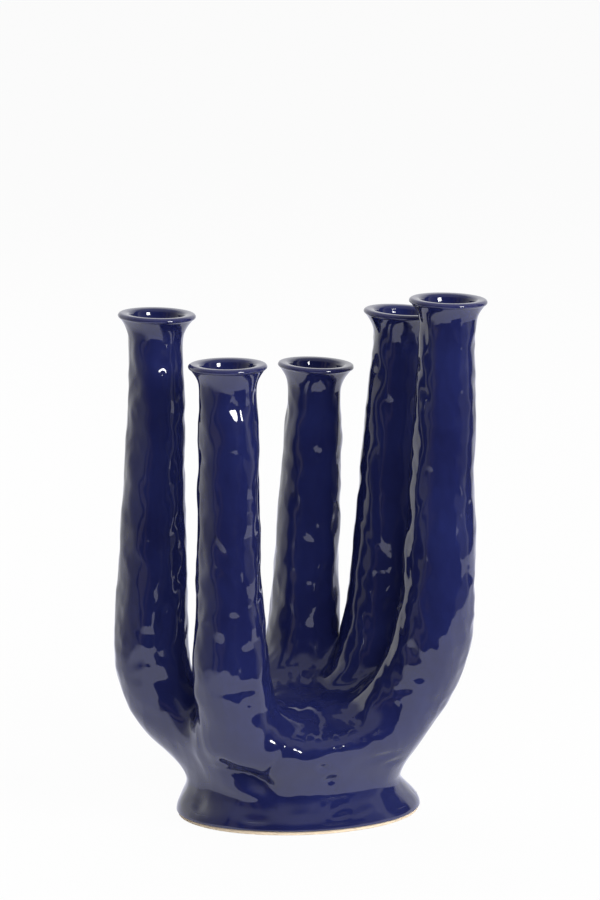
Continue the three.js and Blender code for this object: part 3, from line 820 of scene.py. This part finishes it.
class VASE_OT_foot(bpy.types.Operator):
    """Makes the flared oval foot and the bare clay slab under it"""
    bl_idname = "vase.foot"
    bl_label = "Foot and slab"

    def execute(self, context):
        sizes, look = context.scene.vase_sizes, context.scene.vase_finish
        wall, bare, top = sizes.wall / MM, sizes.bare_edge / MM, sizes.slab_top / MM
        around = np.linspace(0, 2 * np.pi, FOOT_SIDES, endpoint=False)

        def field(p):
            return clay_gap(p, bare)

        def ring_at(height, inset=0.0):
            oval = {key: float(value) for key, value in skirt_oval(height, bare).items()}
            turn = math.radians(oval["turn"])
            u = (oval["across"] - inset) * np.cos(around - turn)
            v = (oval["deep"] - inset) * np.sin(around - turn)
            return np.stack([oval["x"] + u * math.cos(turn) - v * math.sin(turn),
                             oval["y"] + u * math.sin(turn) + v * math.cos(turn), np.full(FOOT_SIDES, height)], 1)

        # Foot: over the toe, up the outside, over the waist's joint and down the inside to the slab.
        base = ring_at(bare)
        # The glaze ends in a soft wavy edge above the bare line.
        wave = 0.6 * np.sin(3 * around + 0.6) + 0.4 * np.sin(7 * around + 2.1) + 0.1 * np.sin(13 * around)
        edge = bare + 0.1 + 0.22 * (wave + 1.1)
        toe_shares = (0.0, 0.35, 0.7, 1.0)
        toe = []
        for share in toe_shares:
            ring = base.copy()
            ring[:, 2] = edge + share * 0.45
            toe.append(shrunk(settle(field, ring, UP), 0.55 * (1 - math.sqrt(1 - (1 - share) ** 2)), ring[:, 2]))
        heights = np.concatenate([np.linspace(bare + 0.9, 8, 8), np.linspace(9, WAIST, 17)])
        outside = [settle(field, ring_at(height), UP) for height in heights]
        inside = [ring_at(height, wall) for height in np.linspace(WAIST, top + JOINT, 10)]
        stack = toe + outside + inside + [shrunk(base, LEDGE, top + JOINT), shrunk(base, LEDGE, edge)]
        verts = np.vstack(stack)
        skin = (len(toe) + len(outside)) * FOOT_SIDES
        normals = np.zeros_like(verts)
        normals[:skin] = unit(slope_of(field, verts[:skin]))
        for k, share in enumerate(toe_shares[:-1]):
            part = slice(k * FOOT_SIDES, (k + 1) * FOOT_SIDES)
            normals[part] = unit(normals[part] * (0.15 + share) - UP * (1 - share) * 0.9)
        normals[skin:, :2] = unit(verts[:, :2].mean(0) - verts[skin:, :2])
        verts[:skin], normals[:skin] = marked(verts[:skin], normals[:skin], sizes)
        flat = np.zeros(len(verts), bool)
        flat[:FOOT_SIDES] = flat[skin - FOOT_SIDES:] = True
        thin = np.clip(np.exp(-(verts[:, 2] - bare) / 1.1) * 0.8, 0, 1)
        new_piece("foot", ["foot"], verts, bands(len(stack), FOOT_SIDES, True), glaze_material(look),
                  normals, flat, thin)

        # Slab: a bare clay plate with eased edges and a shallow recess underneath.
        profile = ((STAND_WIDTH + 1.2, RECESS), (STAND_WIDTH, 0.3), (STAND_WIDTH - 0.6, 0.0), (0.9, 0.0),
                   (0.35, 0.12), (0.05, 0.5), (0.0, 1.0), (0.05, bare - 0.2), (1.1, bare + 0.1),
                   (1.1, top - 0.4), (2.0, top))
        rows = [shrunk(base, SLAB_INSET + inset, height) for inset, height in profile]
        middle = base[:, :2].mean(0)
        verts = np.vstack(rows + [[[*middle, RECESS], [*middle, top]]])
        last, low, high = (len(rows) - 1) * FOOT_SIDES, len(verts) - 2, len(verts) - 1
        faces = bands(len(rows), FOOT_SIDES, False)
        for j in range(FOOT_SIDES):
            jj = (j + 1) % FOOT_SIDES
            faces += [(low, jj, j), (last + j, last + jj, high)]
        new_piece("base_slab", ["base_slab"], verts, faces, clay_material(look))
        return {"FINISHED"}


class VASE_OT_body(bpy.types.Operator):
    """Makes the hollow hand-shaped body between the waist and the arms"""
    bl_idname = "vase.body"
    bl_label = "Body"

    def execute(self, context):
        sizes, look = context.scene.vase_sizes, context.scene.vase_finish
        wall, bare, cell = sizes.wall / MM, sizes.bare_edge / MM, sizes.net_cell / MM

        def skin(level, step):
            """Net at a depth below the outside, cut at the waist and the sockets, with each cut's rim."""
            def field(p):
                return clay_gap(p, bare) + level

            verts, quads = net_of(field, NET_LOW, NET_HIGH, step)
            verts = settle(field, verts)
            tris = np.vstack([quads[:, [0, 1, 2]], quads[:, [0, 2, 3]]])
            verts, tris, rims = cut(verts, tris, WAIST - verts[:, 2], [])
            verts[rims[-1]] = settle(field, verts[rims[-1]], UP)
            for arm in ARMS.values():
                height, aside = about_axis(verts, arm.socket, arm.rise)
                near = (aside < arm.wide + SOCKET_MARGIN) & (height > -SOCKET_DEPTH)
                verts, tris, rims = cut(verts, tris, np.where(near, height, -50.0), rims)
                verts[rims[-1]] = settle(field, verts[rims[-1]], arm.rise)
            return verts, tris, rims, unit(slope_of(field, verts))

        verts, tris, rims, normals = skin(0.0, cell)
        inner, inner_tris, inner_rims, outward = skin(wall, cell * INSIDE_COARSER)
        # A deep thumb mark pushes the inside in with it, so that the wall keeps its thickness.
        pressed = np.maximum(thumb_marks(inner + outward * wall) - PRESS_START, 0)
        inner = inner - outward * (pressed * ease(inner[:, 2], WAIST + 1, WAIST + 5))[:, None]
        verts, normals = marked(verts, normals, sizes)
        count = len(verts)
        verts, normals = np.vstack([verts, inner]), np.vstack([normals, -outward])
        faces = [tris, inner_tris[:, ::-1] + count]
        flat = np.zeros(len(verts), bool)
        cuts = [((-4.0, 0.0, WAIST), -UP)] + [(arm.socket, arm.rise) for arm in ARMS.values()]
        for (middle, way), rim, inner_rim in zip(cuts, rims, inner_rims):
            outer_ring, inner_ring = np.flatnonzero(rim), np.flatnonzero(inner_rim) + count
            faces.append(ring_bridge(outer_ring, inner_ring, verts, middle, way))
            flat[outer_ring] = flat[inner_ring] = True
        new_piece("body", ["body"], verts, np.vstack(faces).tolist(), glaze_material(look),
                  normals, flat, 0.0)
        return {"FINISHED"}


class VASE_OT_arms(bpy.types.Operator):
    """Makes the five pulled arms, each a hollow tube from its socket to its collar"""
    bl_idname = "vase.arms"
    bl_label = "Arms"

    def execute(self, context):
        sizes, glaze = context.scene.vase_sizes, glaze_material(context.scene.vase_finish)
        wall, collar = sizes.wall / MM, sizes.collar_height / MM
        for name, arm in ARMS.items():
            reach = arm.length - collar
            heights = np.linspace(0, reach, max(int(reach / 1.9), 20))
            radius = tube_radius(arm, heights, collar)
            slope = np.gradient(radius, heights)
            slope[0], slope[-1] = arm.taper, 0
            down = np.linspace(reach, 0, 40)
            bore = tube_radius(arm, down, collar) - wall
            profile = [*zip(radius, heights), *zip(bore, down)]
            ways = [(1, -s) for s in slope] + [(-1, 0)] * len(down)
            points, faces, outward = turned(profile, ways, sizes.sides, arm.socket, arm.rise, glaze)
            height, across = about_axis(points, arm.socket, arm.rise)
            skin = across > tube_radius(arm, height, collar) - 0.5
            points[skin], outward[skin] = marked(points[skin], outward[skin], sizes)
            ends = (height < 0.02) | (height > reach - 0.02)
            new_piece("arm_" + name, ["arm_" + name], points, faces, glaze, outward, ends, 0.0)
        return {"FINISHED"}


class VASE_OT_collars(bpy.types.Operator):
    """Makes the five flared collars with their rolled lips and open mouths"""
    bl_idname = "vase.collars"
    bl_label = "Collars"

    def execute(self, context):
        sizes, glaze = context.scene.vase_sizes, glaze_material(context.scene.vase_finish)
        wall, collar, lip, roll, flare, funnel, mouth, pinch = (
            getattr(sizes, key) / MM for key in ("wall", "collar_height", "lip_radius", "lip_round", "flare_depth",
                                                 "funnel_depth", "mouth_radius", "throat_pinch"))
        turn = np.radians(np.linspace(*LIP_TURN, 16))
        rolled = np.array([lip - roll * LIP_WIDENING, -roll])
        rolled = rolled + roll * np.stack([LIP_WIDENING * np.cos(turn), np.sin(turn)], 1)

        def cubic(a, b, c, d, count):
            t = np.linspace(0, 1, count)[:, None]
            a, b, c, d = (np.array(v, float) for v in (a, b, c, d))
            return (1 - t) ** 3 * a + 3 * t * (1 - t) ** 2 * b + 3 * t * t * (1 - t) * c + t ** 3 * d

        for name, arm in ARMS.items():
            neck, bore = arm.neck, arm.neck - wall
            # Up the outside, over the lip, in through the mouth and down the funnel to the bore.
            under = cubic((neck, -collar), (neck, -collar * 0.7), (neck - pinch, -flare * 0.95), rolled[0], 34)
            brim = cubic(rolled[-1], (mouth + 2.2, 0), (mouth + 0.4, -0.6), (mouth, -3.2), 16)
            inward = cubic(brim[-1], (mouth - 0.4, -5.8), (bore, -funnel * 0.75), (bore, -funnel), 14)
            throat = np.stack([np.full(6, bore), np.linspace(-funnel, -collar, 7)[1:]], 1)
            profile = np.vstack([under, rolled[1:], brim[1:], inward[1:], throat])
            along = np.roll(profile, -1, 0) - np.roll(profile, 1, 0)
            along[0] = under[1] - under[0]
            ways = unit(np.stack([along[:, 1], -along[:, 0]], 1))
            ways[-1] = (-1, 0)
            points, faces, outward = turned(profile, ways, sizes.sides, arm.mouth, arm.rise, glaze)
            height, across = about_axis(points, arm.mouth, arm.rise)
            skin = (across > bore + 1.5) & (height < -0.5) & (across > neck - 2)
            skin &= ~((height > -funnel) & (across < mouth + 0.5) & (height > -flare))
            points[skin], outward[skin] = marked(points[skin], outward[skin], sizes)
            thin = np.clip(np.exp(-((across - lip + roll) / 2.6) ** 2) * ease(height, -4, -0.2), 0, 1)
            ends = height < -collar + 0.05
            new_piece("collar_" + name, ["collar_" + name], points, faces, glaze, outward, ends, thin)
        return {"FINISHED"}


# Studio: a white room to the eye, and in the gloss a dark front, lit sides and a lit patch of paper.
def by_ray(tree, others, gloss, seen, seen_share):
    """One shader for the eye, one for the gloss and one for every other ray."""
    path = add_node(tree, "ShaderNodeLightPath").outputs
    first = add_node(tree, "ShaderNodeMixShader", {0: path["Is Glossy Ray"], 1: others, 2: gloss}).outputs[0]
    share = math_node(tree, "MULTIPLY", path["Is Camera Ray"], seen_share)
    return add_node(tree, "ShaderNodeMixShader", {0: share, 1: first, 2: seen}).outputs[0]


def room(tree, vector):
    """Brightness of the studio round the object, and the direction or place split in three."""
    split = add_node(tree, "ShaderNodeSeparateXYZ", {0: vector}).outputs
    angle = math_node(tree, "ARCTAN2", split[0], math_node(tree, "MULTIPLY", split[1], -1))
    share = math_node(tree, "MULTIPLY_ADD", angle, 0.5 / math.pi, 0.5)
    return colour_ramp(tree, share, [(0.5 + degrees / 360, colour) for degrees, colour in ROOM_BEARINGS]), split


def paper_material(studio):
    """White paper: plain white to the eye, a lit patch and the studio's dark front in the gloss."""
    material = bpy.data.materials.new("white_paper")
    material.use_nodes = True
    tree = material.node_tree
    tree.nodes.clear()
    around, place = room(tree, add_node(tree, "ShaderNodeTexCoord").outputs["Object"])
    reach, side = studio.paper_reach, studio.paper_side
    front = ranged(tree, place[1], -reach - 0.01, -reach + 0.01)
    left = ranged(tree, place[0], *PAPER_LEFT)
    right = ranged(tree, place[0], side - 0.02, side + 0.02, 1.0, 0.0)
    lit = math_node(tree, "MULTIPLY", front, math_node(tree, "MULTIPLY", left, right))
    matte = add_node(tree, "ShaderNodeBsdfDiffuse", {"Color": (0.8, 0.8, 0.8, 1)}).outputs[0]
    gloss = add_node(tree, "ShaderNodeEmission", {"Color": mixed(tree, lit, around, PAPER_LIGHT)}).outputs[0]
    white = add_node(tree, "ShaderNodeEmission", {"Color": (1, 1, 1, 1)}).outputs[0]
    add_node(tree, "ShaderNodeOutputMaterial", {0: by_ray(tree, matte, gloss, white, PAPER_WHITE)})
    return material


def backdrop():
    """White backdrop to the eye. The gloss also shows the studio's dark front, its lit sides and ceiling."""
    world = bpy.data.worlds.new("studio")
    world.use_nodes = True
    tree = world.node_tree
    tree.nodes.clear()
    around, way = room(tree, add_node(tree, "ShaderNodeTexCoord").outputs["Generated"])
    height = ranged(tree, way[2], *CEILING_EDGE, interpolation_type="SMOOTHSTEP")
    ambient, gloss, white = (
        add_node(tree, "ShaderNodeBackground", {"Color": colour}).outputs[0]
        for colour in ((0.1, 0.1, 0.1, 1), mixed(tree, height, around, CEILING_LIGHT), (0.975, 0.975, 0.975, 1)))
    add_node(tree, "ShaderNodeOutputWorld", {0: by_ray(tree, ambient, gloss, white, 1.0)})
    return world


def black_card(bearing):
    """Black card in front of the window's lower edge, for the gloss only: it keeps the foot free of glints."""
    way = Vector((math.sin(bearing), -math.cos(bearing), 0))
    side = Vector((math.cos(bearing), math.sin(bearing), 0))
    material = bpy.data.materials.new("black_card")
    material.use_nodes = True
    shader = material.node_tree.nodes["Principled BSDF"]
    shader.inputs["Base Color"].default_value = (0, 0, 0, 1)
    shader.inputs["Specular IOR Level"].default_value = 0
    corners = [way * CARD_DISTANCE + side * s + Vector((0, 0, z)) for s, z in CARD_OUTLINE]
    obj = plain_object("card", corners, [range(len(corners))], material)
    obj.visible_camera = obj.visible_diffuse = obj.visible_shadow = obj.visible_transmission = False


def lamp(name, bearing, height, power, distance, size, in_gloss=False):
    """Rectangular light aimed at the arms' middle, by its bearing from the front and its height angle. It
    lights either the gloss or the rest."""
    light = bpy.data.lights.new(name, "AREA")
    light.shape = "RECTANGLE"
    light.size, light.size_y = size
    light.energy = power
    way = Vector((math.sin(bearing) * math.cos(height), -math.cos(bearing) * math.cos(height), math.sin(height)))
    made = placed(name, light)
    made.location = LAMP_TARGET + way * distance
    made.rotation_euler = way.to_track_quat("Z", "Y").to_euler()
    made.visible_glossy, made.visible_diffuse = in_gloss, not in_gloss


class VASE_OT_stage(bpy.types.Operator):
    """Sets the table, the backdrop, the soft lights and the camera"""
    bl_idname = "vase.stage"
    bl_label = "Studio"

    def execute(self, context):
        scene, studio = context.scene, context.scene.vase_studio
        scene.view_settings.view_transform = "Standard"
        turn = np.linspace(0, 2 * np.pi, TABLE_SIDES, endpoint=False)
        rim = [(TABLE_RADIUS * math.cos(a), TABLE_RADIUS * math.sin(a), 0) for a in turn]
        floor = plain_object("floor", rim, [range(TABLE_SIDES)], paper_material(studio))
        scene.world = backdrop()
        lamp("window", studio.window_bearing, studio.window_height, studio.window_power, distance=2.0,
             size=(0.5, 0.55), in_gloss=True)
        lamp("soft", studio.soft_bearing, math.radians(32), studio.soft_power, distance=2.2, size=(1.1, 1.2))
        lamp("fill", math.radians(6), math.radians(26), studio.fill_power, distance=2.4, size=(1.6, 1.2))
        lamp("back", math.radians(200), math.radians(45), studio.back_power, distance=2.2, size=(1.8, 1.5))
        black_card(studio.window_bearing)
        camera = bpy.data.cameras.new("camera")
        camera.sensor_fit, camera.sensor_height = "VERTICAL", 36
        camera.lens = studio.focal_length
        camera.clip_start, camera.clip_end = 0.05, 50
        eye = placed("camera", camera)
        eye.location = (FOOT_MIDDLE[0] * MM, -studio.camera_distance + FOOT_MIDDLE[1] * MM, studio.camera_height)
        eye.rotation_euler = (math.pi / 2 - studio.camera_pitch, 0, 0)
        scene.camera = eye
        return {"FINISHED"}


class VASE_PT_panel(bpy.types.Panel):
    """Steps and sizes of the vase"""
    bl_idname = "VASE_PT_panel"
    bl_label = "Vase"
    bl_space_type = "VIEW_3D"
    bl_region_type = "UI"
    bl_category = "Vase"

    def draw(self, context):
        column = self.layout.column()
        for key, kind in GROUPS.items():
            for field in kind.__annotations__:
                column.prop(getattr(context.scene, key), field)
        for operator in OPERATORS:
            column.operator(operator.bl_idname)


GROUPS = {"vase_sizes": VaseSizes, "vase_finish": VaseFinish, "vase_studio": VaseStudio}
OPERATORS = (VASE_OT_foot, VASE_OT_body, VASE_OT_arms, VASE_OT_collars, VASE_OT_stage)
CLASSES = (*GROUPS.values(), *OPERATORS, VASE_PT_panel)


def register():
    for cls in CLASSES:
        bpy.utils.register_class(cls)
    for key, kind in GROUPS.items():
        setattr(bpy.types.Scene, key, PointerProperty(type=kind))


def unregister():
    for key in GROUPS:
        delattr(bpy.types.Scene, key)
    for cls in reversed(CLASSES):
        bpy.utils.unregister_class(cls)


def main():
    register()
    bpy.ops.vase.foot()
    bpy.ops.vase.body()
    bpy.ops.vase.arms()
    bpy.ops.vase.collars()
    bpy.ops.vase.stage()


if __name__ == "__main__":
    main()
